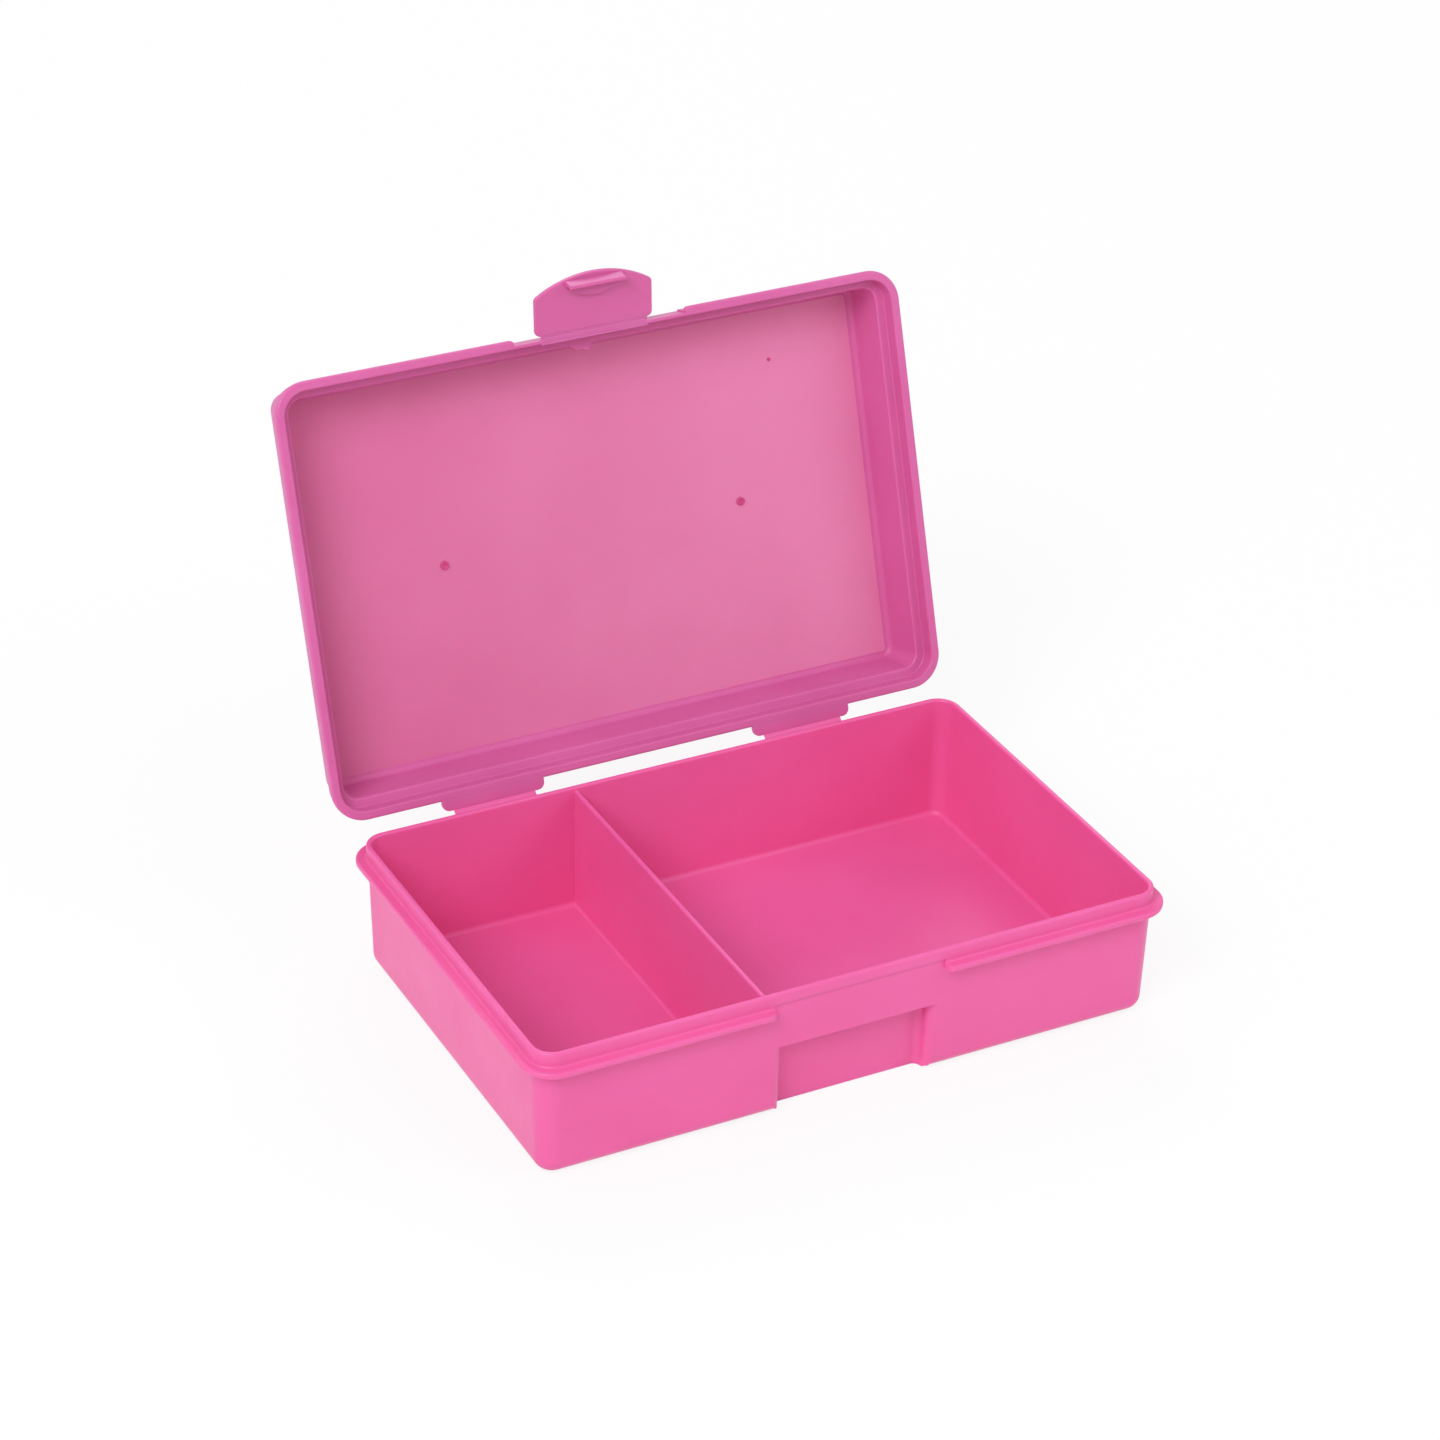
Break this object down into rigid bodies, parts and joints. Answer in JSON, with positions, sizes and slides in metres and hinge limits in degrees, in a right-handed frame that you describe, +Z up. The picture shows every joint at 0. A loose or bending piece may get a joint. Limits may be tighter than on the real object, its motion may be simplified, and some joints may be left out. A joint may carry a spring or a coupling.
{
  "type": "lunch box",
  "caption": "Shallow rectangular lunch box with a divided tub, a tray-shaped lid on rear film hinges and a fold-over front latch.",
  "frame": {"origin": "middle of the flat underside of the tub", "axes": "+X along the length, +Y towards the rear hinges, +Z up"},
  "size_m": [0.185, 0.1768, 0.1659],
  "materials": {
    "pink_plastic": "satin translucent polypropylene",
    "lid_plastic": "satin translucent polypropylene, thin enough to let light through"
  },
  "bodies": {
    "tub": {"base_tub": "pink_plastic", "divider_wall": "pink_plastic", "base_hinge_leaf_left": "pink_plastic", "base_hinge_leaf_right": "pink_plastic", "rear_film_left": "pink_plastic", "rear_film_right": "pink_plastic"},
    "lid": {"lid_shell": "lid_plastic", "lid_front_rib": "lid_plastic", "lid_hinge_leaf_left": "lid_plastic", "lid_hinge_leaf_right": "lid_plastic", "latch_film": "lid_plastic"},
    "latch": {"latch_plate": "lid_plastic", "latch_hook": "lid_plastic"}
  },
  "joints": [
    {"name": "lid_hinge", "type": "hinge", "parent": "tub", "child": "lid", "pos_m": [0, 0.0631, 0.034], "axis": [-1, 0, 0], "range_deg": [-108.1, 71.9]},
    {"name": "latch_hinge", "type": "hinge", "parent": "lid", "child": "latch", "pos_m": [0, 0.10131, 0.14944], "axis": [1, 0, 0], "range_deg": [-45, 75]}
  ]
}
